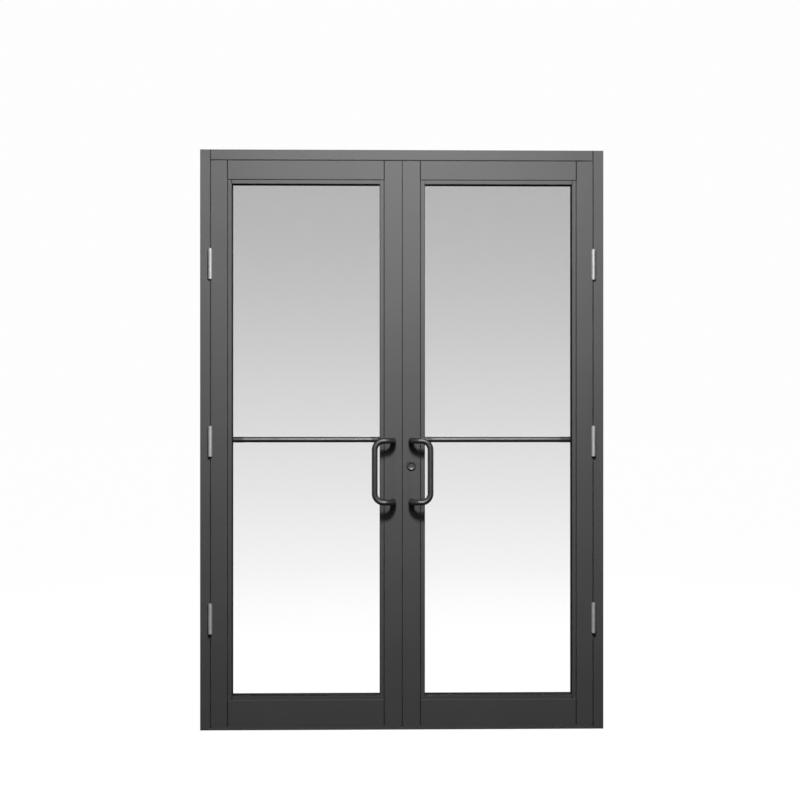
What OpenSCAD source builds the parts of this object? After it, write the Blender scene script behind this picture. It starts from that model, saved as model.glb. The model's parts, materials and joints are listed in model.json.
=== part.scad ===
// Pair of glazed storefront doors in a tubular aluminium frame.
// X runs along the doorway, +X to the right seen from outside. The outside face looks along -Y.
// Z is up. The origin is the centre of the sill's underside.

/* [Frame] */
// Width over the outside of the jambs
frame_w = 1520; // [1300:10:1900]
// Height over the sill and the header
frame_h = 2184; // [1900:10:2450]
// Depth of the jamb and header tubes, front to back
frame_d = 114; // [104:1:150]
// Width of a jamb's face
jamb_face = 38; // [34:1:60]
// Height of the header's face
header_h = 38; // [34:1:60]
// Height of the threshold
threshold_h = 13; // [12:0.5:19]
// Wall of the extruded tubes
wall = 3; // [2.5:0.1:4]
// Wall of the tube sides that hinges, locks and bolts are let into
edge_wall = 5; // [4.5:0.1:6]
// Width and depth of the snap-in stop behind the doors' edges
stop_size = [16, 28]; // [14:1:24]

/* [Gaps] */
// Gap between a door's hinge edge and the jamb
hinge_gap = 2.5; // [2.2:0.1:4]
// Gap between the two doors
meeting_gap = 4; // [3.6:0.1:6]
// How far each meeting edge's front lip narrows the gap between the doors
meeting_lip = 0.75; // [0:0.05:1]
// Width of the shadow lines where rails, headers and beads meet their neighbours
reveal_w = 2.4; // [0.5:0.1:2.5]
// Depth of the shadow lines at the rails' and the header's ends
reveal_d = 2; // [0.5:0.1:2.2]
// Gap between a door and the header
top_gap = 3; // [2.5:0.1:6]
// Gap between a door and the threshold
sill_gap = 3; // [2.5:0.1:6]
// Clearance of the seals from what they close on
seal_clear = 0.3; // [0.2:0.05:0.5]

/* [Doors] */
// Depth of a door, front to back
leaf_d = 44.5; // [42:0.5:50]
// Face width of the hinge stile
hinge_stile_w = 61; // [50:1:90]
// Face width of the meeting stile
meeting_stile_w = 65; // [60:1:100]
// Face height of the top rail
top_rail_h = 70; // [55:1:120]
// Face height of the bottom rail
bottom_rail_h = 96; // [60:1:250]
// Length of the corner blocks inside the rails' ends
corner_block_l = 50; // [35:1:80]

/* [Glazing] */
// Face width of the glazing beads and of the rear glazing legs
bead_w = 16.5; // [14:0.5:22]
// Depth of a glazing bead
bead_d = 8.5; // [7:0.5:12]
// How far the beads lie back from the door's face
bead_recess = 1; // [0.5:0.1:2]
// Thickness of each pane
pane_t = 6; // [5:0.5:6.5]
// Space between the panes
spacer_t = 12; // [10:0.5:13]
// Thickness of the gaskets that grip the glass
gasket_t = 1.5; // [1:0.1:2]
// How far the glass reaches under the beads
glass_bite = 12; // [9:0.5:13]
// Length of each setting block under the glass
setting_block_l = 80; // [50:5:120]

/* [Hinges] */
// Height of a hinge
hinge_h = 112; // [100:1:130]
// Radius of the hinge knuckles
knuckle_r = 7.5; // [7:0.1:8.5]
// Radius of the hinge pin
hinge_pin_r = 3; // [2.5:0.1:3.5]
// Thickness of the hinge leaves
hinge_leaf_t = 3; // [2.5:0.1:3]
// Depth of the hinge leaves behind the door's face
hinge_leaf_w = 36; // [32:1:40]
// Distance from the door's top to the middle of the top hinge
hinge_from_top = 390; // [200:5:500]
// Distance from the door's bottom to the middle of the bottom hinge
hinge_from_bottom = 404; // [200:5:500]

/* [Handles] */
// Outside radius of the handle tube
handle_r = 11; // [9:0.5:14]
// Wall of the handle tube
handle_wall = 2; // [1.5:0.1:3]
// Bend radius of the handle tube, to its centre line
bend_r = 34; // [26:1:34]
// Height of the pull handle's upper arm and of the push bar above the sill
grip_z = 1090; // [950:5:1200]
// Distance between the centres of the pull handle's arms
pull_ctc = 230; // [180:5:600]
// Sideways distance from the handle's feet to its grip
pull_offset = 69.4; // [69:0.2:110]
// Distance from the door's face to the middle of the grip
pull_standoff = 60; // [50:1:80]
// Distance from the door's back to the middle of the push bar
push_standoff = 48; // [45:1:70]
// Length of the black sleeve elbows at the push bar's ends, from the foot's centre
push_end_l = 82; // [60:1:120]
// Radius of the bolts that hold the handles
handle_bolt_r = 4; // [3:0.5:5]

/* [Lock and bolts] */
// Height of the key cylinder above the sill
cylinder_z = 995; // [900:5:1050]
// Distance from the door's meeting edge to the key cylinder
backset = 32; // [28:1:34]
// Radius of the key cylinder's body
cylinder_r = 14.5; // [13:0.5:15.5]
// Radius of the ring around the key cylinder
ring_r = 17.5; // [17:0.5:20]
// How far the ring stands out of the door's face
ring_t = 7; // [4:0.5:9]
// Radius of the turning key plug
plug_r = 6.35; // [5.5:0.05:7]
// Depth of the dish in the key cylinder's face
dish_d = 3.5; // [1:0.1:4.5]
// Length of the swinging bolt beyond its pivot
bolt_l = 52; // [46:1:54]
// Width of the swinging bolt
bolt_w = 16; // [12:1:18]
// Thickness of the swinging bolt
bolt_t = 8; // [6:0.5:9]
// Travel of the flush bolts
flush_travel = 12; // [8:0.5:12]
// Radius of the flush bolt rods
rod_r = 6; // [5:0.5:7]

/* [Fixings] */
// Radius of the wall anchor holes in the jambs
anchor_r = 5; // [4:0.5:6.5]
// Distance between the two anchor holes of a jamb
anchor_spacing = 1400; // [1000:50:1500]
// Radius of the countersunk screws' shank
screw_r = 2.5; // [2:0.1:3]
// Length of the countersunk screws
screw_l = 14; // [10:1:20]

/* [Hidden] */
$fn = 48;

// Colours
paint = [0.23, 0.24, 0.25];
black = [0.05, 0.05, 0.06];
steel = [0.70, 0.69, 0.66];
rubber = [0.08, 0.08, 0.08];
glass = [0.75, 0.85, 0.85, 0.35];

// Small fixed clearances
running = 0.05;
joint_gap = 0.3;
eps = 0.01;
over = 1;

// Main planes. Every X below is a distance from the middle of the doorway.
half_w = frame_w / 2;
front_y = -frame_d / 2;
rear_y = frame_d / 2;
jamb_x = half_w - jamb_face;
hinge_x = jamb_x - hinge_gap / 2;
hinge_y = front_y - knuckle_r - joint_gap;
edge_x = jamb_x - hinge_gap;
meet_x = meeting_gap / 2;
header_z = frame_h - header_h;
leaf_back_y = front_y + leaf_d;
leaf_z0 = threshold_h + sill_gap;
leaf_z1 = header_z - top_gap;

// The opening inside the stiles and rails
open_outer_x = edge_x - hinge_stile_w;
open_inner_x = meet_x + meeting_stile_w;
open_z0 = leaf_z0 + bottom_rail_h;
open_z1 = leaf_z1 - top_rail_h;

// Layers of the glazing, from the front to the back
bead_y = front_y + bead_recess;
front_gasket_y = bead_y + bead_d;
front_pane_y = front_gasket_y + gasket_t;
spacer_y = front_pane_y + pane_t;
rear_pane_y = spacer_y + spacer_t;
rear_gasket_y = rear_pane_y + pane_t;
leg_y = rear_gasket_y + gasket_t;
glass_inset = bead_w - glass_bite;
bead_wall = 2;
// Outer and inner edge of the spacer and the gaskets, in from the opening's edge
spacer_edges = [glass_inset + 1.5, bead_w - 1];
gasket_edges = [glass_inset + 1, bead_w - 0.5];

// Hinges
hinge_z = [leaf_z1 - hinge_from_top,
           (leaf_z1 - hinge_from_top + leaf_z0 + hinge_from_bottom) / 2,
           leaf_z0 + hinge_from_bottom];
knuckles = 5;
knuckle_gap = 0.3;
knuckle_h = (hinge_h - (knuckles - 1) * knuckle_gap) / knuckles;
mortise_slack = 0.2;
hinge_screw_z = [-0.37 * hinge_h, -0.13 * hinge_h, 0.13 * hinge_h, 0.37 * hinge_h];
hinge_screw_y = [11, 25, 11, 25];
pin_head_r = hinge_pin_r + 2;
pin_head_t = 2;

// Countersunk screws
screw_head_r = screw_r * 2;
screw_head_t = screw_r;
screw_hole_r = screw_r + 0.1;

// Stop, weatherseal and sweep
seal_t = 4;
stop_y = leaf_back_y + seal_t;
stop_wall = 2;
seal_w = stop_size[0] - 4;
sweep_t = 5;
sweep_y = front_y + wall;
sweep_inset = 1;

// Threshold
threshold_lip = 6;
threshold_slope = 13;
sill_leg_w = 16;
sill_channel_y = [20, 44];
sill_deck_t = 5;
sill_channel_h = threshold_h - sill_deck_t;

// Frame fixings
frame_screw_r = 2.5;
frame_screw_l = 35;
frame_screw_head = [4.5, 3];
boss_size = 12;
anchor_inset = 19;
boss_y = [front_y + wall + boss_size / 2, rear_y - wall - boss_size / 2];
boss_z = header_z + header_h / 2;
anchor_y = rear_y - anchor_inset;
anchor_z = frame_h / 2;

// Handles
foot_x = meet_x + meeting_stile_w / 2;
hinge_foot_x = edge_x - hinge_stile_w / 2;
pull_y = front_y - pull_standoff;
pull_x = foot_x + pull_offset;
push_y = leaf_back_y + push_standoff;
handle_bore_r = handle_r - handle_wall;
sleeve_wall = 0.5;
bar_r = handle_r - sleeve_wall;
bar_inset = 1;
plug_l = 22;
bolt_hole_r = handle_bolt_r + 0.2;
bolt_head = [8, 4];
stud_l = 18;
nut = [7, 6.5];

// Lock: everything turns in the plane in the middle of the door's depth
lock_y = (front_y + leaf_back_y) / 2;
lock_x = meet_x + backset;
pivot_setback = 22;
pivot_rise = 20;
pivot_x = meet_x + pivot_setback;
pivot_z = cylinder_z + pivot_rise;
pivot_r = 4;
case_t = 16;
case_wall = 3;
case_l = 48;
case_x1 = meet_x + case_l;
case_z = [pivot_z - bolt_l - 8, pivot_z + bolt_w / 2 + 6];
slot_w = bolt_t + 2;
slot_z = [pivot_z - bolt_l + 1, pivot_z + bolt_w / 2 + 1];

// Plates let into the doors' edges, which reach past the case or the slot by plate_end
plate_t = 3;
plate_w = 24;
plate_end = 20;
plate_screw_inset = 8;
plate_z = [case_z[0] - plate_end, case_z[1] + plate_end];
strike_z = [slot_z[0] - plate_end, slot_z[1] + plate_end];
// Rim of the door's edge wall left behind a flush bolt's plate, at its sides and ends
plate_rim = [4, 16];

// Cylinder and thumbturn
cylinder_hole_r = cylinder_r + 0.2;
cylinder_back_y = lock_y - case_t / 2;
plug_end_y = cylinder_back_y - 2;
spindle_r = 5;
rose_t = 5;
knob_l = 34;
knob_d = 16;
knob_t = 9;
neck_r = 8.5;
neck_l = 4;
keyway = [1.6, 8, 15];
dish_rim = 1.5;
ring_round = 3.5;

// Flush bolts in the inactive door
rod_setback = 20;
rod_x = meet_x + rod_setback;
rod_l = 200;
rod_inset = 1;
flush_plate_l = 170;
flush_plate_z = [[leaf_z0, leaf_z0 + flush_plate_l], [leaf_z1 - flush_plate_l, leaf_z1]];
guide_z = 20;
guide_l = 40;
guide_w = 14;
guide_wall = 4;
thumb = [6, 20];
thumb_slack = [0.5, 1];
thumb_from_guide = 20;
thumb_z = guide_z + guide_l + thumb_from_guide + flush_travel;
keeper_r = rod_r + 3;
keeper_bore_r = rod_r + 0.6;
sill_keeper_h = threshold_h - 2;
head_keeper_h = 13;

// Meeting seal: how far it stands out, its width, and how deep it is let in
pile = [2.5, 5, 2.5];
pile_y = front_y + 4;

// ---------- Helpers ----------

// A block between two opposite corners
module block(low, high) {
    translate(low) cube(high - low);
}

// The left-hand side is drawn as it is, and the right-hand side is its mirror image.
// On the left, X runs from the jamb at -half_w to the middle of the doorway at 0.
module on_side(side) {
    if (side == "left") mirror([1, 0, 0]) children();
    else children();
}

// A rod along X, Y or Z from one end to the other
module rod_x(r, y, z, x0, x1) {
    translate([x0, y, z]) rotate([0, 90, 0]) cylinder(r = r, h = x1 - x0);
}

module rod_y(r, x, z, y0, y1) {
    translate([x, y0, z]) rotate([-90, 0, 0]) cylinder(r = r, h = y1 - y0);
}

module rod_z(r, x, y, z0, z1) {
    translate([x, y, z0]) cylinder(r = r, h = z1 - z0);
}

// A countersunk screw or its hole, along +Z from its head's flat top at 0
module countersunk(shank_r, length) {
    cylinder(r1 = screw_head_r, r2 = shank_r, h = screw_head_t);
    cylinder(r = shank_r, h = length);
}

// The opening that a piece of the given inset from the glazing opening's edge keeps clear
module opening_block(inset, y0, y1) {
    block([open_inner_x + inset, y0, open_z0 + inset],
          [open_outer_x - inset, y1, open_z1 - inset]);
}

// The cut of a shadow line in a tube's front, on both sides of the plane X = 0
module reveal_cut(z0, z1) {
    block([-reveal_w, front_y - over, z0], [reveal_w, front_y + reveal_d, z1]);
}

// ---------- Frame ----------

// Places along Z of one side's hinges
module at_hinges() {
    for (z = hinge_z) translate([0, 0, z]) children();
}

// The four screw places of a hinge leaf, on the plane at x, with Z turned to point along X
module at_hinge_screws(x, turn) {
    for (i = [0:3])
        translate([x, front_y + hinge_screw_y[i], hinge_screw_z[i]])
            rotate([0, turn, 0]) children();
}

// The recess that a hinge leaf is let into, from plane x0 to plane x1
module hinge_mortise(x0, x1) {
    block([x0, front_y - over, -hinge_h / 2 - mortise_slack],
          [x1, front_y + hinge_leaf_w + mortise_slack, hinge_h / 2 + mortise_slack]);
}

module jamb(side) {
    color(paint) on_side(side) difference() {
        block([jamb_x, front_y, 0], [half_w, rear_y, frame_h]);
        block([jamb_x + edge_wall, front_y + wall, -over],
              [half_w - wall, rear_y - wall, frame_h + over]);
        at_hinges() {
            hinge_mortise(jamb_x - over, jamb_x + hinge_leaf_t);
            at_hinge_screws(jamb_x, 90) cylinder(r = screw_hole_r, h = edge_wall + over);
        }
        // Anchor holes through both walls
        for (dz = [-1, 1])
            rod_x(anchor_r, anchor_y, anchor_z + dz * anchor_spacing / 2,
                  jamb_x - over, half_w + over);
        // Screw holes into the header and the threshold
        for (y = boss_y)
            rod_x(screw_hole_r, y, boss_z, jamb_x - over, jamb_x + edge_wall + over);
        rod_x(screw_hole_r, 0, threshold_h / 2, jamb_x - over, jamb_x + edge_wall + over);
    }
}

module header() {
    color(paint) difference() {
        union() {
            difference() {
                block([-jamb_x, front_y, header_z], [jamb_x, rear_y, frame_h]);
                block([-jamb_x - over, front_y + wall, header_z + wall],
                      [jamb_x + over, rear_y - wall, frame_h - wall]);
            }
            for (y = boss_y)
                block([-jamb_x, y - boss_size / 2 - eps, boss_z - boss_size / 2],
                      [jamb_x, y + boss_size / 2 + eps, boss_z + boss_size / 2]);
        }
        for (s = [-1, 1])
            translate([s * jamb_x, 0, 0]) reveal_cut(header_z - over, frame_h + over);
        for (s = [-1, 1], y = boss_y)
            translate([s * (jamb_x + over), y, boss_z]) rotate([0, -90 * s, 0])
                cylinder(r = frame_screw_r, h = frame_screw_l + over);
        rod_z(keeper_r, -rod_x, lock_y, header_z - over, header_z + wall + over);
    }
}

module threshold() {
    color(paint) difference() {
        translate([-jamb_x, 0, 0]) rotate([90, 0, 90]) linear_extrude(2 * jamb_x)
            polygon([[front_y, 0], [front_y, threshold_lip], [front_y + threshold_slope, threshold_h],
                     [rear_y - threshold_slope, threshold_h], [rear_y, threshold_lip], [rear_y, 0]]);
        // Channels on both sides of the middle leg
        block([-jamb_x - over, sill_leg_w / 2, -over],
              [jamb_x + over, sill_channel_y[1], sill_channel_h]);
        block([-jamb_x - over, -sill_channel_y[0], -over],
              [jamb_x + over, -sill_leg_w / 2, sill_channel_h]);
        for (s = [-1, 1])
            translate([s * (jamb_x + over), 0, threshold_h / 2]) rotate([0, -90 * s, 0])
                cylinder(r = frame_screw_r, h = frame_screw_l + over);
        rod_z(keeper_r, -rod_x, lock_y, threshold_h - sill_keeper_h, threshold_h + over);
    }
}

// A hollow stop snapped to the jamb behind the door's edge
module stop_side(side) {
    color(paint) on_side(side) difference() {
        block([jamb_x - stop_size[0], stop_y, threshold_h],
              [jamb_x, stop_y + stop_size[1], header_z]);
        block([jamb_x - stop_size[0] + stop_wall, stop_y + stop_wall, threshold_h - over],
              [jamb_x - stop_wall, stop_y + stop_size[1] - stop_wall, header_z + over]);
    }
}

module stop_head() {
    x1 = jamb_x - stop_size[0];
    color(paint) difference() {
        block([-x1, stop_y, header_z - stop_size[0]], [x1, stop_y + stop_size[1], header_z]);
        block([-x1 - over, stop_y + stop_wall, header_z - stop_size[0] + stop_wall],
              [x1 + over, stop_y + stop_size[1] - stop_wall, header_z - stop_wall]);
    }
}

// Seal strips on the front of the stops
module weatherseals() {
    y0 = leaf_back_y + seal_clear;
    x1 = jamb_x - seal_w;
    color(rubber) {
        for (side = ["left", "right"])
            on_side(side) block([x1, y0, threshold_h], [jamb_x, stop_y, header_z]);
        block([-x1 + joint_gap, y0, header_z - seal_w], [x1 - joint_gap, stop_y, header_z]);
    }
}

// One screw along +X, with its head's seat at x
module frame_screw(x, y, z) {
    rod_x(frame_screw_head[0], y, z, x, x + frame_screw_head[1]);
    rod_x(frame_screw_r, y, z, x - edge_wall - frame_screw_l + over, x);
}

module frame_screws() {
    color(steel) for (side = ["left", "right"]) on_side(side) {
        for (y = boss_y) frame_screw(jamb_x + edge_wall, y, boss_z);
        frame_screw(jamb_x + edge_wall, 0, threshold_h / 2);
    }
}

module keeper(z0, z1) {
    difference() {
        rod_z(keeper_r, -rod_x, lock_y, z0, z1);
        rod_z(keeper_bore_r, -rod_x, lock_y, z0 - over, z1 + over);
    }
}

module bolt_keepers() {
    color(steel) {
        keeper(header_z, header_z + head_keeper_h);
        keeper(threshold_h - sill_keeper_h, threshold_h);
    }
}

// ---------- Hinges ----------

// The knuckles with the given remainder: 0 for the jamb's, 1 for the door's
module hinge_knuckles(odd, x0, x1) {
    for (i = [odd:2:knuckles - 1])
        translate([0, 0, -hinge_h / 2 + i * (knuckle_h + knuckle_gap)]) difference() {
            union() {
                translate([hinge_x, hinge_y, 0]) cylinder(r = knuckle_r, h = knuckle_h);
                block([x0, hinge_y, 0], [x1, front_y + over, knuckle_h]);
            }
            translate([hinge_x, hinge_y, -over])
                cylinder(r = hinge_pin_r + running, h = knuckle_h + 2 * over);
        }
}

// A hinge leaf between planes x0 and x1, with screws driven from the plane x_face
module hinge_leaf(odd, x0, x1, x_face, turn) {
    union() {
        difference() {
            block([x0, front_y, -hinge_h / 2], [x1, front_y + hinge_leaf_w, hinge_h / 2]);
            at_hinge_screws(x_face, turn) countersunk(screw_hole_r, hinge_leaf_t + over);
        }
        hinge_knuckles(odd, x0, x1);
    }
}

module jamb_hinge_leaves(side) {
    color(steel) on_side(side) at_hinges()
        hinge_leaf(0, jamb_x, jamb_x + hinge_leaf_t, jamb_x, 90);
}

module door_hinge_leaves(side) {
    color(steel) on_side(side) at_hinges()
        hinge_leaf(1, edge_x - hinge_leaf_t, edge_x, edge_x, -90);
}

module hinge_pins(side) {
    color(steel) on_side(side) at_hinges() {
        rod_z(hinge_pin_r, hinge_x, hinge_y, -hinge_h / 2 - eps, hinge_h / 2 + eps);
        for (s = [-1, 1])
            translate([hinge_x, hinge_y, s * (hinge_h / 2 + pin_head_t / 2)])
                cylinder(r = pin_head_r, h = pin_head_t, center = true);
    }
}

module jamb_hinge_screws() {
    color(steel) for (side = ["left", "right"])
        on_side(side) at_hinges() at_hinge_screws(jamb_x, 90) countersunk(screw_r, screw_l);
}

// ---------- Doors ----------

// A hollow glazing leg between two corners, open at its ends along X or Z
module hollow_strip(low, high, along_x) {
    t = bead_wall;
    inner = along_x ? [[-over, t, t], [over, -t, -t]] : [[t, t, -over], [-t, -t, over]];
    difference() {
        block(low, high);
        block(low + inner[0], high + inner[1]);
    }
}

// The tube of a stile between x0 and x1, with the thick edge wall on the side that edge names
module stile_tube(x0, x1, edge) {
    low_wall = edge == "low" ? edge_wall : wall;
    high_wall = edge == "high" ? edge_wall : wall;
    difference() {
        block([x0, front_y, leaf_z0], [x1, leaf_back_y, leaf_z1]);
        block([x0 + low_wall, front_y + wall, leaf_z0 - over],
              [x1 - high_wall, leaf_back_y - wall, leaf_z1 + over]);
    }
}

module hinge_stile(side) {
    color(paint) on_side(side) {
        difference() {
            stile_tube(open_outer_x, edge_x, "high");
            at_hinges() {
                hinge_mortise(edge_x - hinge_leaf_t, edge_x + over);
                at_hinge_screws(edge_x, -90) cylinder(r = screw_hole_r, h = edge_wall + over);
            }
            rod_y(bolt_hole_r, hinge_foot_x, grip_z, leaf_back_y - wall - over, leaf_back_y + over);
        }
        hollow_strip([open_outer_x - bead_w, leg_y, open_z0],
                     [open_outer_x, leaf_back_y, open_z1], false);
    }
}

// Through holes for the handle's feet
module handle_holes() {
    for (z = [grip_z, grip_z - pull_ctc])
        rod_y(bolt_hole_r, foot_x, z, front_y - over, leaf_back_y + over);
}

module meeting_stile_body() {
    difference() {
        union() {
            stile_tube(meet_x, open_inner_x, "low");
            block([meet_x - meeting_lip, front_y, leaf_z0], [meet_x + over, front_y + wall, leaf_z1]);
        }
        handle_holes();
    }
    hollow_strip([open_inner_x, leg_y, open_z0],
                 [open_inner_x + bead_w, leaf_back_y, open_z1], false);
}

// Screws of an edge plate, one near each end
module at_plate_screws(z) {
    for (end = [z[0] + plate_screw_inset, z[1] - plate_screw_inset])
        translate([meet_x, lock_y, end]) rotate([0, 90, 0]) children();
}

// The recess and the screw holes for an edge plate
module edge_plate_cut(z) {
    block([meet_x - over, lock_y - plate_w / 2, z[0]], [meet_x + plate_t, lock_y + plate_w / 2, z[1]]);
    at_plate_screws(z) cylinder(r = screw_hole_r, h = edge_wall + over);
}

// A way of width w through the door's edge wall
module edge_slot(w, z) {
    block([meet_x - over, lock_y - w / 2, z[0]], [meet_x + edge_wall + over, lock_y + w / 2, z[1]]);
}

module left_meeting_stile() {
    color(paint) on_side("left") difference() {
        meeting_stile_body();
        edge_plate_cut(strike_z);
        edge_slot(slot_w, slot_z);
        for (z = flush_plate_z) {
            edge_plate_cut(z);
            edge_slot(plate_w - 2 * plate_rim[0], [z[0] + plate_rim[1], z[1] - plate_rim[1]]);
        }
    }
}

module right_meeting_stile() {
    color(paint) difference() {
        meeting_stile_body();
        edge_plate_cut(plate_z);
        edge_slot(case_t, case_z);
        rod_y(cylinder_hole_r, lock_x, cylinder_z, front_y - over, front_y + wall + over);
        rod_y(spindle_r + over, lock_x, cylinder_z, leaf_back_y - wall - over, leaf_back_y + over);
        block([meet_x - over, pile_y, leaf_z0 - over],
              [meet_x + pile[2], pile_y + pile[1], leaf_z1 + over]);
    }
}

// A rail's tube with its glazing leg on the side that faces the glass
module rail(side, z0, z1, leg_z0, leg_z1) {
    color(paint) on_side(side) {
        difference() {
            block([open_inner_x, front_y, z0], [open_outer_x, leaf_back_y, z1]);
            block([open_inner_x - over, front_y + wall, z0 + wall],
                  [open_outer_x + over, leaf_back_y - wall, z1 - wall]);
            for (x = [open_inner_x, open_outer_x])
                translate([x, 0, 0]) reveal_cut(z0 - over, z1 + over);
        }
        hollow_strip([open_inner_x + bead_w, leg_y, leg_z0],
                     [open_outer_x - bead_w, leaf_back_y, leg_z1], true);
    }
}

module top_rail(side) {
    rail(side, open_z1, leaf_z1, open_z1 - bead_w, open_z1);
}

module bottom_rail(side) {
    rail(side, leaf_z0, open_z0, open_z0, open_z0 + bead_w);
}

// Blocks that join the rails to the stiles, inside the rails' ends
module corner_blocks(side) {
    color(steel) on_side(side)
        for (z = [[leaf_z0 + wall, open_z0 - wall], [open_z1 + wall, leaf_z1 - wall]],
             x = [open_inner_x, open_outer_x - corner_block_l])
            block([x, front_y + wall + joint_gap, z[0]],
                  [x + corner_block_l, leaf_back_y - wall - joint_gap, z[1]]);
}

module panes(side) {
    color(glass) on_side(side)
        for (y = [front_pane_y, rear_pane_y]) opening_block(glass_inset, y, y + pane_t);
}

module spacer(side) {
    color(black) on_side(side) difference() {
        opening_block(spacer_edges[0], spacer_y, rear_pane_y);
        opening_block(spacer_edges[1], spacer_y - over, rear_pane_y + over);
    }
}

module beads(side) {
    y = [bead_y, front_gasket_y];
    color(paint) on_side(side) {
        for (x = [open_inner_x + reveal_w, open_outer_x - bead_w])
            hollow_strip([x, y[0], open_z0 + reveal_w],
                         [x + bead_w - reveal_w, y[1], open_z1 - reveal_w], false);
        for (z = [open_z0 + reveal_w, open_z1 - bead_w])
            hollow_strip([open_inner_x + bead_w + joint_gap, y[0], z],
                         [open_outer_x - bead_w - joint_gap, y[1], z + bead_w - reveal_w], true);
    }
}

// Gaskets on both faces of the glass, and the blocks that it stands on
module glazing_rubber(side) {
    color(rubber) on_side(side) {
        for (y = [front_gasket_y, rear_gasket_y]) difference() {
            opening_block(gasket_edges[0], y, y + gasket_t);
            opening_block(gasket_edges[1], y - over, y + gasket_t + over);
        }
        for (x = [open_inner_x + bead_w, open_outer_x - bead_w - setting_block_l])
            block([x, front_pane_y, open_z0],
                  [x + setting_block_l, rear_gasket_y, open_z0 + glass_inset]);
    }
}

// A wiper strip under the door's front edge
module sweep(side) {
    color(rubber) on_side(side)
        block([meet_x + sweep_inset, sweep_y, threshold_h + seal_clear],
              [edge_x - sweep_inset, sweep_y + sweep_t, leaf_z0]);
}

module leaf_screws(side) {
    color(steel) on_side(side) {
        at_hinges() at_hinge_screws(edge_x, -90) countersunk(screw_r, screw_l);
        if (side == "left") {
            for (z = concat([strike_z], flush_plate_z))
                at_plate_screws(z) countersunk(screw_r, screw_l);
        }
        else at_plate_screws(plate_z) countersunk(screw_r, screw_l);
    }
}

// ---------- Handles ----------

// A quarter bend centred at the origin, from +X to +Y in the XY plane
module bend(r) {
    rotate_extrude(angle = 90) translate([bend_r, 0]) circle(r = r);
}

// The tube of a pull handle, its feet shortened by cut
module pull_tube(r, cut) {
    for (s = [0, 1]) translate([0, 0, s ? grip_z : grip_z - pull_ctc]) {
        translate([foot_x, pull_y + bend_r, 0]) rotate([-90, 0, 0])
            cylinder(r = r, h = front_y - cut - pull_y - bend_r);
        translate([foot_x + bend_r, pull_y + bend_r, 0]) rotate([0, 0, 180]) bend(r);
        translate([foot_x + bend_r, pull_y, 0]) rotate([0, 90, 0])
            cylinder(r = r, h = pull_offset - 2 * bend_r);
        translate([pull_x - bend_r, pull_y, s ? -bend_r : bend_r]) rotate([s ? 90 : -90, 0, 0]) bend(r);
    }
    translate([pull_x, pull_y, grip_z - pull_ctc + bend_r]) cylinder(r = r, h = pull_ctc - 2 * bend_r);
}

module pull_handle(side) {
    color(black) on_side(side) difference() {
        pull_tube(handle_r, 0);
        pull_tube(handle_bore_r, plug_l);
        for (z = [grip_z, grip_z - pull_ctc])
            rod_y(handle_bolt_r, foot_x, z, front_y - plug_l - over, front_y + over);
    }
}

module push_bar(side) {
    color(steel) on_side(side) difference() {
        rod_x(bar_r, push_y, grip_z, foot_x + bend_r + bar_inset, hinge_foot_x - bend_r - bar_inset);
        rod_x(bar_r - handle_wall, push_y, grip_z, foot_x + bend_r, hinge_foot_x - bend_r);
    }
}

// One elbow from its foot on the door's back at x, running along +X
module push_bar_end(x) {
    sleeve_l = push_end_l - bend_r;
    translate([x, 0, grip_z]) difference() {
        union() {
            translate([0, leaf_back_y, 0]) rotate([-90, 0, 0])
                cylinder(r = handle_r, h = push_standoff - bend_r);
            translate([bend_r, push_y - bend_r, 0]) rotate([0, 0, 90]) bend(handle_r);
            translate([bend_r, push_y, 0]) rotate([0, 90, 0]) cylinder(r = handle_r, h = sleeve_l);
        }
        translate([bend_r + bar_inset, push_y, 0]) rotate([0, 90, 0]) cylinder(r = bar_r, h = sleeve_l);
        translate([0, leaf_back_y - over, 0]) rotate([-90, 0, 0])
            cylinder(r = handle_bolt_r, h = stud_l + over);
    }
}

module push_bar_ends(side) {
    color(black) on_side(side) {
        push_bar_end(foot_x);
        translate([2 * hinge_foot_x, 0, 0]) mirror([1, 0, 0]) push_bar_end(hinge_foot_x);
    }
}

// The shared stud of the upper feet, the capped bolt of the lower foot, and the outer stud
module handle_bolts(side) {
    color(steel) on_side(side) {
        rod_y(handle_bolt_r, foot_x, grip_z, front_y - stud_l, leaf_back_y + stud_l);
        rod_y(handle_bolt_r, foot_x, grip_z - pull_ctc, front_y - stud_l, leaf_back_y);
        rod_y(bolt_head[0], foot_x, grip_z - pull_ctc, leaf_back_y, leaf_back_y + bolt_head[1]);
        rod_y(handle_bolt_r, hinge_foot_x, grip_z, leaf_back_y - wall, leaf_back_y + stud_l);
        rod_y(nut[0], hinge_foot_x, grip_z, leaf_back_y - wall - nut[1], leaf_back_y - wall);
    }
}

// ---------- Lock, in the right door ----------

module lock_case() {
    color(steel) {
        difference() {
            union() {
                block([meet_x, lock_y - plate_w / 2, plate_z[0]],
                      [meet_x + plate_t, lock_y + plate_w / 2, plate_z[1]]);
                block([meet_x, lock_y - case_t / 2, case_z[0]],
                      [case_x1, lock_y + case_t / 2, case_z[1]]);
            }
            block([meet_x + plate_t, lock_y - slot_w / 2, case_z[0] + case_wall],
                  [case_x1 - case_wall, lock_y + slot_w / 2, case_z[1] - case_wall]);
            block([meet_x - over, lock_y - slot_w / 2, slot_z[0]],
                  [meet_x + plate_t + over, lock_y + slot_w / 2, slot_z[1]]);
            at_plate_screws(plate_z) countersunk(screw_hole_r, plate_t + over);
        }
        rod_y(pivot_r, pivot_x, pivot_z, lock_y - slot_w / 2 - eps, lock_y + slot_w / 2 + eps);
    }
}

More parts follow.
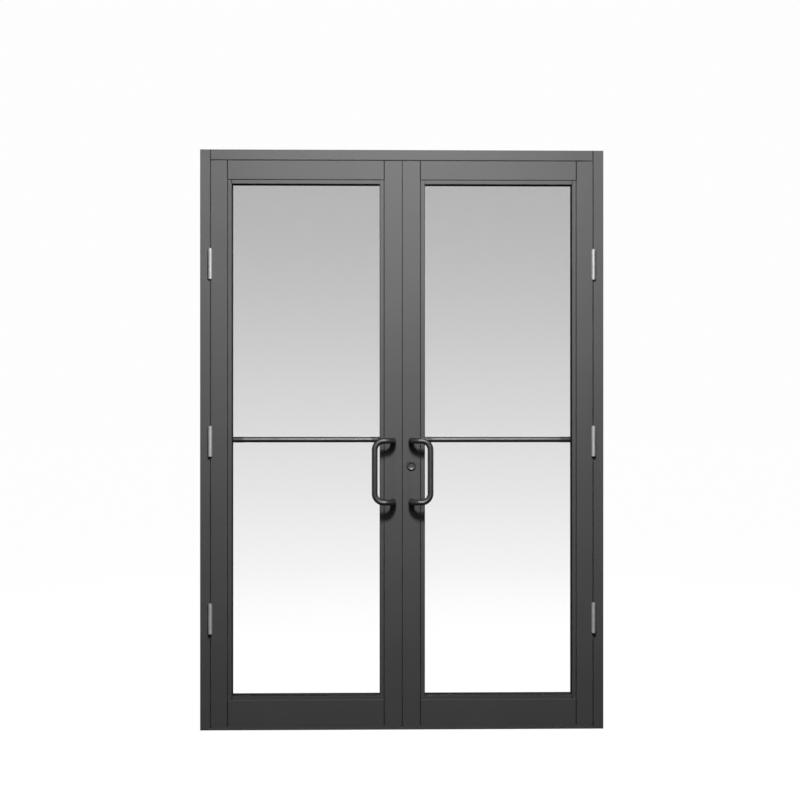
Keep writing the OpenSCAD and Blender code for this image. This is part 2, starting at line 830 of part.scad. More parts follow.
module lock_bolt() {
    color(steel) difference() {
        union() {
            rod_y(bolt_w / 2, pivot_x, pivot_z, lock_y - bolt_t / 2, lock_y + bolt_t / 2);
            block([pivot_x - bolt_w / 2, lock_y - bolt_t / 2, pivot_z - bolt_l],
                  [pivot_x + bolt_w / 2, lock_y + bolt_t / 2, pivot_z]);
        }
        rod_y(pivot_r + running, pivot_x, pivot_z, lock_y - bolt_t, lock_y + bolt_t);
    }
}

module strike_plate() {
    color(steel) on_side("left") difference() {
        block([meet_x, lock_y - plate_w / 2, strike_z[0]],
              [meet_x + plate_t, lock_y + plate_w / 2, strike_z[1]]);
        edge_slot(slot_w, slot_z);
        at_plate_screws(strike_z) countersunk(screw_hole_r, plate_t + over);
    }
}

module key_cylinder() {
    color(steel) difference() {
        rod_y(cylinder_r, lock_x, cylinder_z, front_y - ring_t, cylinder_back_y);
        rod_y(plug_r + running, lock_x, cylinder_z, front_y - ring_t - over, plug_end_y);
        translate([lock_x, front_y - ring_t, cylinder_z]) rotate([-90, 0, 0])
            cylinder(r1 = cylinder_r - dish_rim, r2 = plug_r, h = dish_d);
    }
}

module cylinder_ring() {
    color(black) translate([lock_x, front_y, cylinder_z]) rotate([90, 0, 0]) difference() {
        union() {
            cylinder(r = ring_r, h = ring_t - ring_round);
            cylinder(r = ring_r - ring_round, h = ring_t);
            translate([0, 0, ring_t - ring_round]) rotate_extrude()
                translate([ring_r - ring_round, 0]) circle(r = ring_round);
        }
        translate([0, 0, -over]) cylinder(r = cylinder_r + running, h = ring_t + 2 * over);
    }
}

module key_plug() {
    front = front_y - ring_t + dish_d;
    color(steel) difference() {
        rod_y(plug_r, lock_x, cylinder_z, front, plug_end_y - running);
        block([lock_x - keyway[0] / 2, front - over, cylinder_z - keyway[1] / 2],
              [lock_x + keyway[0] / 2, front + keyway[2], cylinder_z + keyway[1] / 2]);
    }
}

module thumbturn_rose() {
    color(black) difference() {
        rod_y(ring_r, lock_x, cylinder_z, leaf_back_y, leaf_back_y + rose_t);
        rod_y(spindle_r + running, lock_x, cylinder_z, leaf_back_y - over, leaf_back_y + rose_t + over);
    }
}

module thumbturn() {
    knob_y = leaf_back_y + rose_t + joint_gap;
    color(steel) {
        rod_y(spindle_r, lock_x, cylinder_z, lock_y + case_t / 2 + joint_gap, knob_y);
        rod_y(neck_r, lock_x, cylinder_z, knob_y, knob_y + neck_l);
        hull() for (s = [-1, 1])
            rod_y(knob_t / 2, lock_x, cylinder_z + s * (knob_l - knob_t) / 2,
                  knob_y + neck_l, knob_y + knob_d);
    }
}

// ---------- Flush bolts, in the left door ----------

// Plate in the door's edge with a guide for the rod. Z runs from the door's end inwards.
module flush_plate() {
    difference() {
        union() {
            block([meet_x, lock_y - plate_w / 2, 0],
                  [meet_x + plate_t, lock_y + plate_w / 2, flush_plate_l]);
            block([meet_x, lock_y - guide_w / 2, guide_z],
                  [rod_x + rod_r + guide_wall, lock_y + guide_w / 2, guide_z + guide_l]);
        }
        rod_z(rod_r + running, rod_x, lock_y, guide_z - over, guide_z + guide_l + over);
        block([meet_x - over, lock_y - thumb[0] / 2 - thumb_slack[0],
               thumb_z - flush_travel - thumb_slack[1]],
              [meet_x + plate_t + over, lock_y + thumb[0] / 2 + thumb_slack[0],
               thumb_z + thumb[1] + thumb_slack[1]]);
        at_plate_screws([0, flush_plate_l]) countersunk(screw_hole_r, plate_t + over);
    }
}

// Rod with the thumb piece that slides it
module flush_rod() {
    rod_z(rod_r, rod_x, lock_y, rod_inset, rod_l);
    block([meet_x + thumb_slack[1], lock_y - thumb[0] / 2, thumb_z],
          [rod_x, lock_y + thumb[0] / 2, thumb_z + thumb[1]]);
}

// The children at the door's bottom end as drawn, or turned over at its top end
module at_leaf_end(top) {
    on_side("left") if (top) translate([0, 0, leaf_z1]) mirror([0, 0, 1]) children();
    else translate([0, 0, leaf_z0]) children();
}

module flush_bolt_plates() {
    color(steel) for (top = [true, false]) at_leaf_end(top) flush_plate();
}

module flush_bolt_top() {
    color(steel) at_leaf_end(true) flush_rod();
}

module flush_bolt_bottom() {
    color(steel) at_leaf_end(false) flush_rod();
}

// A pile strip in the right door's meeting edge
module meeting_seal() {
    color(rubber)
        block([meet_x - pile[0], pile_y, leaf_z0], [meet_x + pile[2], pile_y + pile[1], leaf_z1]);
}

// ---------- Assembly ----------

jamb("left");  // jamb_left
jamb("right");  // jamb_right
header();
threshold();
stop_side("left");  // stop_left
stop_side("right");  // stop_right
stop_head();
weatherseals();
frame_screws();
bolt_keepers();
jamb_hinge_leaves("left");  // left_jamb_hinge_leaves
jamb_hinge_leaves("right");  // right_jamb_hinge_leaves
jamb_hinge_screws();
hinge_pins("left");  // left_hinge_pins
hinge_pins("right");  // right_hinge_pins
hinge_stile("left");  // left_hinge_stile
hinge_stile("right");  // right_hinge_stile
left_meeting_stile();
right_meeting_stile();
top_rail("left");  // left_top_rail
top_rail("right");  // right_top_rail
bottom_rail("left");  // left_bottom_rail
bottom_rail("right");  // right_bottom_rail
corner_blocks("left");  // left_corner_blocks
corner_blocks("right");  // right_corner_blocks
panes("left");  // left_panes
panes("right");  // right_panes
spacer("left");  // left_spacer
spacer("right");  // right_spacer
beads("left");  // left_beads
beads("right");  // right_beads
glazing_rubber("left");  // left_glazing_rubber
glazing_rubber("right");  // right_glazing_rubber
pull_handle("left");  // left_pull_handle
pull_handle("right");  // right_pull_handle
handle_bolts("left");  // left_handle_bolts
handle_bolts("right");  // right_handle_bolts
push_bar("left");  // left_push_bar
push_bar("right");  // right_push_bar
push_bar_ends("left");  // left_push_bar_ends
push_bar_ends("right");  // right_push_bar_ends
sweep("left");  // left_sweep
sweep("right");  // right_sweep
door_hinge_leaves("left");  // left_door_hinge_leaves
door_hinge_leaves("right");  // right_door_hinge_leaves
leaf_screws("left");  // left_leaf_screws
leaf_screws("right");  // right_leaf_screws
strike_plate();
flush_bolt_plates();
flush_bolt_top();
flush_bolt_bottom();
meeting_seal();
lock_case();
lock_bolt();
key_cylinder();
cylinder_ring();
key_plug();
thumbturn();
thumbturn_rose();
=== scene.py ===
"""Looks of a pair of framed glass doors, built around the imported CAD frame. Lengths are in metres."""

import json
import math
import random

import bmesh
import bpy
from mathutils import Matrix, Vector


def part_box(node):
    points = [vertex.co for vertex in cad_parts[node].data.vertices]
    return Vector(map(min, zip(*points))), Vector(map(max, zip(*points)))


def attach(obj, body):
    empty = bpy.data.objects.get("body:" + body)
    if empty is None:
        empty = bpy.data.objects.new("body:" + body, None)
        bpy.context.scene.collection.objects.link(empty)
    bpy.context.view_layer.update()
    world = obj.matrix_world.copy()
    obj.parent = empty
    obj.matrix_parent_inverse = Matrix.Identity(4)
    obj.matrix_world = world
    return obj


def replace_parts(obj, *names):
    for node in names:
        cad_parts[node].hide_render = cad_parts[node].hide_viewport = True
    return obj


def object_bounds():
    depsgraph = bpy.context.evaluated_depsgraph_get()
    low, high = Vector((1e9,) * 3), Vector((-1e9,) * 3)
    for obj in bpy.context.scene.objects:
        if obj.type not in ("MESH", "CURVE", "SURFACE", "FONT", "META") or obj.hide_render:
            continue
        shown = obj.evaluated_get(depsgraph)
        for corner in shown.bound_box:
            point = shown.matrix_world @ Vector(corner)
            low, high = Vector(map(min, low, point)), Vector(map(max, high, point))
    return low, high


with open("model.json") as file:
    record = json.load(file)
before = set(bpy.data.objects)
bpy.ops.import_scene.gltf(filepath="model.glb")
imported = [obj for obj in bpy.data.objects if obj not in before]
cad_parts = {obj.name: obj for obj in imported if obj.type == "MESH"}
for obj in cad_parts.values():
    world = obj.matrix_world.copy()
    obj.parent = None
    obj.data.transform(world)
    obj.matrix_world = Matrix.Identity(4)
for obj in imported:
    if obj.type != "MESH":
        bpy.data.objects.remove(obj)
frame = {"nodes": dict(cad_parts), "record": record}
cad_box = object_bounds()

# The camera stands a little left of the doors' middle and looks level, almost straight at them
CAMERA_PLACE = Vector((-0.095, -4.857, 1.242))
CAMERA_TURN = math.radians(1.03)
SENSOR_WIDTH = 36.0
VIEW_WIDTH_AT_DOOR = 3.014
DOOR_DISTANCE = 4.8

# Colours, linear
PAINT = (0.118, 0.118, 0.12)
SILL_PAINT = (0.13, 0.13, 0.132)
HANDLE_BLACK = (0.022, 0.022, 0.023)
SATIN_BLACK = (0.035, 0.035, 0.037)
RUBBER = (0.012, 0.012, 0.012)
NICKEL = (0.62, 0.61, 0.59)
HINGE_NICKEL = (0.35, 0.346, 0.335)
STEEL = (0.10, 0.10, 0.10)
DARK_STEEL = (0.065, 0.065, 0.067)
ZINC = (0.55, 0.56, 0.57)
ALUMINIUM = (0.72, 0.72, 0.73)
# Dark colour of the panes, which shows most towards the top as painted reflection
PANE_BODY_AND_PAINTED_REFLECTION = (0.02, 0.021, 0.021)
FLOOR_GREY = (0.05, 0.05, 0.05)
WHITE = (1.0, 1.0, 1.0, 1.0)
BACKGROUND_WHITE = (0.985, 0.985, 0.985, 1.0)

# A look through a door crosses the two faces of two panes
PANE_FACES = 4
# What they let through together, at shares of the glass's height: the grey towards the top is painted
# reflection of the surroundings
PANE_PAINTED_REFLECTION = ((0.0, 0.995), (0.12, 0.985), (0.24, 0.925), (0.40, 0.81), (0.62, 0.64), (0.80, 0.53), (1.0, 0.44))

# Softened edges of the CAD nodes, by material slot, and wider ones on the bottom rails
WELD_DISTANCE = 0.00001
EDGE_ANGLE = math.radians(35)
EDGE_SEGMENTS = 2
FLAT_FACE_WEIGHT = 100
ROUNDED = {
    "frame_paint": 0.0005, "sill_paint": 0.0006, "hinge_steel": 0.0004, "lock_steel": 0.0003,
    "handle_black": 0.0002, "push_bar_steel": 0.0002, "black_trim": 0.0003, "cylinder_steel": 0.0002,
    "key_metal": 0.0003, "fixing_steel": 0.0002,
}
RAIL_NODES = ("left_bottom_rail", "right_bottom_rail")
RAIL_EDGE = 0.0012

# Strips of painted shade, black and lapped over the edges of gaps and shadow lines, and the gaskets' setback:
# setback and depth in a gap, lap over the edges of a shadow line, crown of the front
MM = 0.001
HAIR = 0.05 * MM
GASKET_AND_SHADE_SETBACK = 0.6 * MM
SHADE_STRIP_DEPTH = 8 * MM
SHADE_STRIP_BACK = 1.95 * MM
SHADE_LAP = 0.85 * MM
CORNER_SHADE_LAP = 1.2 * MM
SHADE_PROUD = 0.2 * MM
SHADE_CROWN = 0.15 * MM
SHADE_CROWN_STEPS = 6
JAMB_SHADE_SLACK = 0.5 * MM
HEADER_SHADE_SLACK = 0.4 * MM
# Lip of the glazing gaskets, and the sloped strip between a bottom rail and its bead
LIP = 2 * MM
SLOPE_SETBACK = 0.2 * MM
SLOPE_DEPTH = 4 * MM
# Wiper blade under a door, in front of the threshold's slope
SWEEP_CLEAR = 0.3 * MM
SWEEP_LOW = 7.1 * MM
SWEEP_FACE = (0.3 * MM, 1.1 * MM)
# Brush between the doors
BRUSH_CLEAR = 0.1 * MM
BRUSH_STEP = 4 * MM
BRUSH_RAGGED = 0.4 * MM
BRUSH_SEED = 7
PILE_HALF = 1.2 * MM

# Studio
FLOOR_SIZE = 60.0
FLOOR_GLOW = 0.985
DIM_STRENGTH = 0.02
# Globes of light: name, place, radius, power, and the kind of ray that doesn't see it
GLOBES = (
    ("key", (0.0, -1.66, 2.4), 0.175, 170.0, "visible_glossy"),
    ("shine", (0.0, -4.6, 3.6), 0.5, 2600.0, "visible_diffuse"),
)
# Panels of light: name, place, the point it faces, size, power
PANELS = (
    ("left_front", (-3.0, -0.5, 0.7), (-0.75, 0.0, 0.8), (0.8, 1.6), 6.0),
    ("right_front", (3.0, -0.5, 0.7), (0.75, 0.0, 0.8), (0.8, 1.6), 6.0),
    ("rear", (0.6, 3.4, 2.6), (0.0, 0.0, 1.0), (1.6, 1.6), 60.0),
    ("left_side", (-3.2, 0.9, 1.8), (-0.76, 0.0, 1.1), (1.0, 1.6), 30.0),
    ("right_side", (3.2, 0.9, 1.8), (0.76, 0.0, 1.1), (1.0, 1.6), 30.0),
    ("top", (0.0, 0.4, 4.6), (0.0, 0.2, 2.2), (2.0, 0.8), 25.0),
)


# ---------- Materials ----------

class Finish:
    """A procedural material: a Principled shader with short calls for the nodes that drive it."""

    def __init__(self, name, roughness, metallic=0.0, specular=0.5):
        self.material = bpy.data.materials.new(name)
        self.material.use_nodes = True
        self.tree = self.material.node_tree
        self.shader = self.tree.nodes["Principled BSDF"]
        self.shader.inputs["Roughness"].default_value = roughness
        self.shader.inputs["Metallic"].default_value = metallic
        self.shader.inputs["Specular IOR Level"].default_value = specular
        self.place = self.node("ShaderNodeTexCoord").outputs["Object"]

    def node(self, kind, **settings):
        made = self.tree.nodes.new(kind)
        for key, value in settings.items():
            setattr(made, key, value)
        return made

    def feed(self, socket, value):
        """Links a socket to an output, or gives it a plain value."""
        if isinstance(value, bpy.types.NodeSocket):
            self.tree.links.new(value, socket)
        else:
            socket.default_value = value

    def noise(self, scale, detail=3.0, stretch=(1.0, 1.0, 1.0)):
        """Noise with features of about 1 / scale metres, drawn out along the axes with a small stretch."""
        mapping = self.node("ShaderNodeMapping")
        self.feed(mapping.inputs["Vector"], self.place)
        mapping.inputs["Scale"].default_value = stretch
        texture = self.node("ShaderNodeTexNoise")
        self.feed(texture.inputs["Vector"], mapping.outputs["Vector"])
        texture.inputs["Scale"].default_value = scale
        texture.inputs["Detail"].default_value = detail
        return texture.outputs["Fac"]

    def ranged(self, value, low, high, start=0.3, end=0.7):
        """Maps a value from start..end to low..high. Noise lies mostly between 0.3 and 0.7."""
        made = self.node("ShaderNodeMapRange")
        self.feed(made.inputs["Value"], value)
        made.inputs["From Min"].default_value = start
        made.inputs["From Max"].default_value = end
        made.inputs["To Min"].default_value = low
        made.inputs["To Max"].default_value = high
        return made.outputs["Result"]

    def colour(self, base, spread, factor):
        """The base colour, darker and lighter by the spread as the factor goes from 0.3 to 0.7."""
        mix = self.node("ShaderNodeMix", data_type="RGBA")
        self.feed(mix.inputs["Factor"], self.ranged(factor, 0.0, 1.0))
        self.feed(mix.inputs["A"], (*[c * (1 - spread) for c in base], 1.0))
        self.feed(mix.inputs["B"], (*[c * (1 + spread) for c in base], 1.0))
        self.feed(self.shader.inputs["Base Color"], mix.outputs["Result"])

    def roughness(self, low, high, factor):
        self.feed(self.shader.inputs["Roughness"], self.ranged(factor, low, high))

    def bump(self, height, depth):
        """Raises the surface by up to depth where the height is 1."""
        made = self.node("ShaderNodeBump")
        made.inputs["Strength"].default_value = 1.0
        made.inputs["Distance"].default_value = depth
        self.feed(made.inputs["Height"], height)
        self.feed(self.shader.inputs["Normal"], made.outputs["Normal"])


def powder_coat(name, base, roughness):
    """Matt powder coat: a faint orange peel and slow changes of tone."""
    made = Finish(name, roughness, specular=0.05)
    cloud = made.noise(5.0)
    peel = made.noise(700.0, detail=2.0)
    made.colour(base, 0.035, cloud)
    made.roughness(roughness - 0.05, roughness + 0.06, peel)
    made.bump(peel, 0.00003)
    return made.material


def enamel(name):
    """Baked satin enamel on the handles."""
    made = Finish(name, 0.47)
    handling = made.noise(40.0)
    ripple = made.noise(350.0, detail=1.0)
    made.colour(HANDLE_BLACK, 0.15, handling)
    made.roughness(0.43, 0.52, handling)
    made.bump(ripple, 0.00002)
    return made.material


def satin_black(name):
    made = Finish(name, 0.38, specular=0.45)
    grain = made.noise(900.0)
    made.colour(SATIN_BLACK, 0.12, made.noise(60.0))
    made.roughness(0.33, 0.45, grain)
    made.bump(grain, 0.00002)
    return made.material


def brushed(name, base, roughness, along):
    """Brushed metal. The strokes run along the axis numbered along."""
    made = Finish(name, roughness, metallic=1.0)
    stretch = [1.0, 1.0, 1.0]
    stretch[along] = 0.02
    strokes = made.noise(2200.0, detail=4.0, stretch=stretch)
    made.colour(base, 0.10, strokes)
    made.roughness(roughness - 0.08, roughness + 0.10, strokes)
    made.bump(strokes, 0.00001)
    return made.material


def tumbled(name, base, roughness, metallic=1.0):
    """Plated or mill-finished metal with a fine, even grain."""
    made = Finish(name, roughness, metallic=metallic)
    grain = made.noise(1400.0)
    made.colour(base, 0.10, made.noise(90.0))
    made.roughness(roughness - 0.06, roughness + 0.10, grain)
    made.bump(grain, 0.00001)
    return made.material


def rubber(name):
    """Matt extruded rubber with a dusty bloom."""
    made = Finish(name, 0.75, specular=0.15)
    grain = made.noise(1200.0)
    made.colour(RUBBER, 0.35, made.noise(30.0))
    made.roughness(0.65, 0.85, grain)
    made.bump(grain, 0.00004)
    return made.material


def glass(name, low, high):
    """Clear at the bottom and more and more grey towards the top, as the two panes together show it. The grey
    is painted reflection of the surroundings, not a tint of the glass.
    """
    made = Finish(name, 0.03)
    made.colour(PANE_BODY_AND_PAINTED_REFLECTION, 0.1, made.noise(3.0))
    made.roughness(0.02, 0.05, made.noise(12.0))
    made.bump(made.noise(4.0, detail=1.0), 0.00002)
    split = made.node("ShaderNodeSeparateXYZ")
    made.feed(split.inputs["Vector"], made.place)
    # A ramp by height paints the reflection's grey into the panes' cover
    ramp = made.node("ShaderNodeValToRGB")
    made.feed(ramp.inputs["Fac"], made.ranged(split.outputs["Z"], 0.0, 1.0, low, high))
    ramp.color_ramp.interpolation = "B_SPLINE"
    stops = ramp.color_ramp.elements
    while len(stops) < len(PANE_PAINTED_REFLECTION):
        stops.new(0.5)
    for stop, (share, through_with_painted_reflection) in zip(stops, PANE_PAINTED_REFLECTION):
        stop.position = share
        painted_reflection_cover = 1 - through_with_painted_reflection ** (1 / PANE_FACES)
        stop.color = (painted_reflection_cover, painted_reflection_cover, painted_reflection_cover, 1.0)
    made.feed(made.shader.inputs["Alpha"], ramp.outputs["Color"])
    return made.material


glass_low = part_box("left_panes")[0].z
glass_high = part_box("left_panes")[1].z

FINISHES = {
    "frame_paint": powder_coat("frame_paint", PAINT, 0.6),
    "sill_paint": powder_coat("sill_paint", SILL_PAINT, 0.6),
    "handle_black": enamel("handle_black"),
    "black_trim": satin_black("black_trim"),
    "push_bar_steel": brushed("push_bar_steel", STEEL, 0.45, 0),
    "clear_glass": glass("clear_glass", glass_low, glass_high),
    "spacer_black": rubber("spacer_black"),
    "seal_rubber": rubber("seal_rubber"),
    "mill_aluminium": tumbled("mill_aluminium", ALUMINIUM, 0.4),
    "hinge_steel": tumbled("hinge_steel", HINGE_NICKEL, 0.66, metallic=0.6),
    "lock_steel": brushed("lock_steel", NICKEL, 0.35, 2),
    "cylinder_steel": tumbled("cylinder_steel", DARK_STEEL, 0.4, metallic=0.4),
    "key_metal": tumbled("key_metal", DARK_STEEL, 0.4, metallic=0.4),
    "fixing_steel": tumbled("fixing_steel", ZINC, 0.35),
}


# ---------- The CAD nodes' finish and edges ----------

def round_edges(piece, width):
    """Joins the mesh's faces and softens its hard edges, without touching the mesh itself."""
    for face in piece.data.polygons:
        face.use_smooth = True
    weld = piece.modifiers.new("weld", "WELD")
    weld.merge_threshold = WELD_DISTANCE
    bevel = piece.modifiers.new("edges", "BEVEL")
    bevel.width = width
    bevel.segments = EDGE_SEGMENTS
    bevel.limit_method = "ANGLE"
    bevel.angle_limit = EDGE_ANGLE
    flat = piece.modifiers.new("flat_faces", "WEIGHTED_NORMAL")
    flat.weight = FLAT_FACE_WEIGHT


def dress(node, slot):
    """Gives a CAD node its slot's material and soft edges."""
    piece = frame["nodes"][node]
    piece.data.materials.clear()
    piece.data.materials.append(FINISHES[slot])
    if slot in ROUNDED:
        round_edges(piece, RAIL_EDGE if node in RAIL_NODES else ROUNDED[slot])


for subpart in frame["record"]["subparts"]:
    dress(subpart["node"], subpart["material_slot"])


# ---------- Seals, gaskets and black strips of painted shade ---

# Planes of the right door. The left door is its mirror image.
face_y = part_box("right_top_rail")[0].y
open_x = (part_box("right_top_rail")[0].x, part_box("right_top_rail")[1].x)
beads_low, beads_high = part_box("right_beads")
reveal = beads_low.x - open_x[0]
open_z = (beads_low.z - reveal, beads_high.z + reveal)
leaf_z = (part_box("right_hinge_stile")[0].z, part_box("right_hinge_stile")[1].z)
leaf_back_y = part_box("right_hinge_stile")[1].y
edge_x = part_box("right_hinge_stile")[1].x
jamb_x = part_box("jamb_right")[0].x
header_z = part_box("header")[0].z
frame_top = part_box("header")[1].z
sill_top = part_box("threshold")[1].z
panes_low, panes_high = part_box("right_panes")
bead_edge = open_z[1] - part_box("right_top_rail")[0].z


def loft(name, rows, body, slot="seal_rubber", closed=False, mirrored=False):
    """A piece through rows of points, each row a closed outline. Closed rows make a ring without ends."""
    sign = -1 if mirrored else 1
    points = [(sign * x, y, z) for row in rows for x, y, z in row]
    count, size = len(rows), len(rows[0])
    faces = [(row * size + i, row * size + (i + 1) % size,
              (row + 1) % count * size + (i + 1) % size, (row + 1) % count * size + i)
             for row in range(count if closed else count - 1) for i in range(size)]
    if not closed:
        faces += [tuple(range(size)), tuple(range(len(points) - size, len(points)))]
    mesh = bpy.data.meshes.new(name)
    mesh.from_pydata(points, [], faces)
    shell = bmesh.new()
    shell.from_mesh(mesh)
    bmesh.ops.recalc_face_normals(shell, faces=shell.faces)
    shell.to_mesh(mesh)
    shell.free()
    mesh.materials.append(FINISHES[slot])
    piece = bpy.data.objects.new(name, mesh)
    bpy.context.collection.objects.link(piece)
    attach(piece, body)
    return piece


def rounded_front(low, high, front, back, crown):
    """Outline (across, y) of a black strip of painted shade between low and high whose front is crowned."""
    middle, half = (low + high) / 2, (high - low) / 2
    turns = [math.pi * i / SHADE_CROWN_STEPS for i in range(SHADE_CROWN_STEPS + 1)]
    arc = [(middle - half * math.cos(turn), front + crown * (1 - math.sin(turn))) for turn in turns]
    return arc + [(high, back), (low, back)]


def upright(outline, low, high):
    """Rows for a strip that runs along Z."""
    return [[(across, y, z) for across, y in outline] for z in (low, high)]


def level(outline, low, high):
    """Rows for a strip that runs along X."""
    return [[(x, y, across) for across, y in outline] for x in (low, high)]


def around(outline):
    """Rows for a mitred ring inside the glazing opening. The outline is (inset, y) points."""
    corners = ((open_x[0], open_z[0], 1, 1), (open_x[1], open_z[0], -1, 1),
               (open_x[1], open_z[1], -1, -1), (open_x[0], open_z[1], 1, -1))
    return [[(x + sx * inset, y, z + sz * inset) for inset, y in outline] for x, z, sx, sz in corners]


def shade_line_strip(low, high, lap=SHADE_LAP, front=face_y):
    """Outline of the black strip of painted shade that fills a shadow line of a front and laps its edges."""
    return rounded_front(low - lap, high + lap, front - SHADE_PROUD, front + SHADE_STRIP_BACK, SHADE_CROWN)


def gap_shade_strip(low, high, slack):
    """Outline of the black strip of painted shade on the frame that fills a gap beside a door up to the slack.
    """
    return rounded_front(low + slack, high + SHADE_LAP, face_y - SHADE_PROUD, face_y + SHADE_STRIP_DEPTH, SHADE_CROWN)


def gasket_lip(front, back):
    """Outline of a gasket's lip over the inner side of a bead, or of the leg behind the glass."""
    return [(bead_edge, front), (bead_edge + LIP / 2, front + HAIR), (bead_edge + LIP, (front + back) / 2),
            (bead_edge + LIP / 2, back - HAIR), (bead_edge, back)]


def sweep_outline(back):
    """Outline (z, y) of a door's wiper: a block in the gap with a blade that hangs from its front."""
    top, block_low = leaf_z[0] + HAIR, sill_top + SWEEP_CLEAR
    front, blade_back = face_y + SWEEP_FACE[0], face_y + SWEEP_FACE[1]
    return [(SWEEP_LOW, front), (top, front), (top, back), (block_low, back), (block_low, blade_back),
            (SWEEP_LOW, blade_back)]


def brush(name, body):
    """The pile between the doors: fine, slightly uneven tips on a strip let into the right door."""
    low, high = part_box("meeting_seal")
    tip_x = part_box("strike_plate")[1].x + BRUSH_CLEAR
    base_x, root_x = high.x, -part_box("strike_plate")[1].x
    middle = (low.y + high.y) / 2
    draw = random.Random(BRUSH_SEED)
    count = round((high.z - low.z) / BRUSH_STEP)
    rows = []
    for step in range(count + 1):
        z = low.z + (high.z - low.z) * step / count
        tip = tip_x + draw.uniform(0, BRUSH_RAGGED)
        rows.append([(base_x, low.y, z), (root_x, low.y, z), (tip, middle - PILE_HALF, z),
                     (tip, middle + PILE_HALF, z), (root_x, high.y, z), (base_x, high.y, z)])
    return loft(name, rows, body)


def leaf_seals_and_shade_strips(side, mirrored):
    """The seals, gaskets and black strips of painted shade of one door, and those on the frame beside it."""
    leaf = side + "_leaf"

    def add(name, rows, body=leaf, **settings):
        return loft(f"{side}_{name}", rows, body, mirrored=mirrored, **settings)

    bead_y = beads_low.y
    ends = (("inner", (open_x[0], open_x[0] + reveal)), ("outer", (open_x[1] - reveal, open_x[1])))
    # Black strips over the shadow lines at the rail ends and beside and above the beads: painted shade
    for place, low, high in (("top", open_z[1], leaf_z[1]), ("bottom", leaf_z[0], open_z[0])):
        for end, x in ends:
            add(f"{place}_rail_{end}_seal", upright(shade_line_strip(*x), low, high))
    for end, x in ends:
        add(f"bead_{end}_seal", upright(shade_line_strip(*x, front=bead_y), *open_z))
    add("bead_top_seal", level(shade_line_strip(open_z[1] - reveal, open_z[1], front=bead_y), *open_x))

    # Black strips over the hairline joints at the bead corners: painted shade
    corner_x = open_x[1] - bead_edge
    corner = shade_line_strip(corner_x, corner_x, lap=CORNER_SHADE_LAP, front=bead_y)
    add("top_bead_joint_shade", upright(corner, open_z[1] - bead_edge, open_z[1]))
    add("bottom_bead_joint_shade", upright(corner, open_z[0], open_z[0] + bead_edge))

    slope = [(open_z[0] - HAIR, face_y + HAIR), (open_z[0] + reveal, bead_y + SLOPE_SETBACK),
             (open_z[0] + reveal, bead_y + SLOPE_DEPTH), (open_z[0] - HAIR, bead_y + SLOPE_DEPTH)]
    add("bottom_rail_slope", level(slope, open_x[0] + reveal, open_x[1] - reveal), slot="frame_paint")

    # Black filler deep in the gap between the beads and the rails and stiles: painted shade
    half_round = reveal / 2 - HAIR
    bead_gap_shade = rounded_front(HAIR, reveal - HAIR, bead_y + GASKET_AND_SHADE_SETBACK, panes_low.y, half_round)
    add("bead_gap_shade", around(bead_gap_shade), closed=True)
    add("front_gasket", around(gasket_lip(bead_y + GASKET_AND_SHADE_SETBACK, panes_low.y)), closed=True)
    add("rear_gasket", around(gasket_lip(panes_high.y, leaf_back_y - GASKET_AND_SHADE_SETBACK)), closed=True)

    # Black strips in the gap beside the door and over the joint of jamb and header: painted shade
    add("jamb_shade_strip", upright(gap_shade_strip(edge_x, jamb_x, JAMB_SHADE_SLACK), sill_top, header_z), body="frame")
    add("header_shade_strip", upright(shade_line_strip(jamb_x - reveal, jamb_x), header_z, frame_top), body="frame")

    sweep_low, sweep_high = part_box(side + "_sweep")
    sweep_x = sorted((abs(sweep_low.x), abs(sweep_high.x)))
    wiper = add("door_sweep", level(sweep_outline(sweep_high.y), *sweep_x), slot="sill_paint")
    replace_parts(wiper, side + "_sweep")


leaf_seals_and_shade_strips("left", True)
leaf_seals_and_shade_strips("right", False)
# Black strip in the gap above the doors: painted shade
loft("header_gap_shade_strip", level(gap_shade_strip(leaf_z[1], header_z, HEADER_SHADE_SLACK), -jamb_x, jamb_x), "frame")
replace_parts(brush("meeting_brush", "right_leaf"), "meeting_seal")


# ---------- Studio ----------

def floor():
    """A wide white floor that runs into the white background."""
    bpy.ops.mesh.primitive_plane_add(size=FLOOR_SIZE, location=(0.0, 0.0, cad_box[0].z))
    plane = bpy.context.object
    plane.name = "floor"
    made = Finish("floor", 0.9, specular=0.0)
    made.colour(FLOOR_GREY, 0.02, made.noise(2.0))
    made.shader.inputs["Emission Color"].default_value = WHITE
    made.shader.inputs["Emission Strength"].default_value = FLOOR_GLOW
    plane.data.materials.append(made.material)
    plane.visible_diffuse = False
    plane.visible_glossy = False


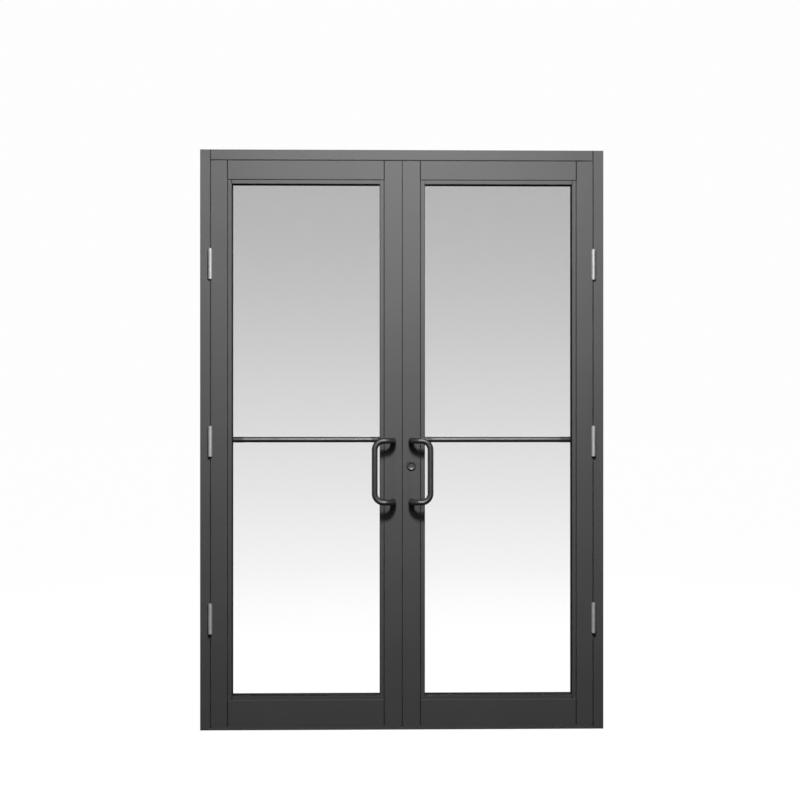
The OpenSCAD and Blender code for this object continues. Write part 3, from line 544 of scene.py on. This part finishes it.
def background():
    """White to the camera, and a dim even light to everything else."""
    world = bpy.data.worlds.new("studio")
    bpy.context.scene.world = world
    world.use_nodes = True
    tree = world.node_tree
    tree.nodes.clear()
    white = tree.nodes.new("ShaderNodeBackground")
    white.inputs["Color"].default_value = BACKGROUND_WHITE
    dim = tree.nodes.new("ShaderNodeBackground")
    dim.inputs["Color"].default_value = WHITE
    dim.inputs["Strength"].default_value = DIM_STRENGTH
    path = tree.nodes.new("ShaderNodeLightPath")
    mix = tree.nodes.new("ShaderNodeMixShader")
    output = tree.nodes.new("ShaderNodeOutputWorld")
    tree.links.new(path.outputs["Is Camera Ray"], mix.inputs["Fac"])
    tree.links.new(dim.outputs["Background"], mix.inputs[1])
    tree.links.new(white.outputs["Background"], mix.inputs[2])
    tree.links.new(mix.outputs["Shader"], output.inputs["Surface"])


def hang(name, data, place):
    """Puts a light or the camera in the scene."""
    holder = bpy.data.objects.new(name, data)
    holder.location = place
    bpy.context.collection.objects.link(holder)
    return holder


def round_light(name, place, radius, power, unseen_by):
    """A soft globe of light that one kind of ray doesn't see."""
    lamp = bpy.data.lights.new(name, "POINT")
    lamp.energy = power
    lamp.shadow_soft_size = radius
    setattr(hang(name, lamp, place), unseen_by, False)


def panel_light(name, place, aim, size, power):
    """A soft panel of light of size (width, height) that faces the point aim."""
    lamp = bpy.data.lights.new(name, "AREA")
    lamp.shape = "RECTANGLE"
    lamp.size, lamp.size_y = size
    lamp.energy = power
    holder = hang(name, lamp, place)
    holder.rotation_euler = (Vector(aim) - Vector(place)).to_track_quat("-Z", "Y").to_euler()
    holder.visible_camera = False


def camera():
    lens = bpy.data.cameras.new("camera")
    lens.sensor_width = SENSOR_WIDTH
    lens.lens = SENSOR_WIDTH * DOOR_DISTANCE / VIEW_WIDTH_AT_DOOR
    holder = hang("camera", lens, CAMERA_PLACE)
    holder.rotation_euler = (math.pi / 2, 0.0, -CAMERA_TURN)
    bpy.context.scene.camera = holder


floor()
background()
for globe in GLOBES:
    round_light(*globe)
for panel in PANELS:
    panel_light(*panel)
bpy.context.scene.view_settings.view_transform = "Standard"
camera()
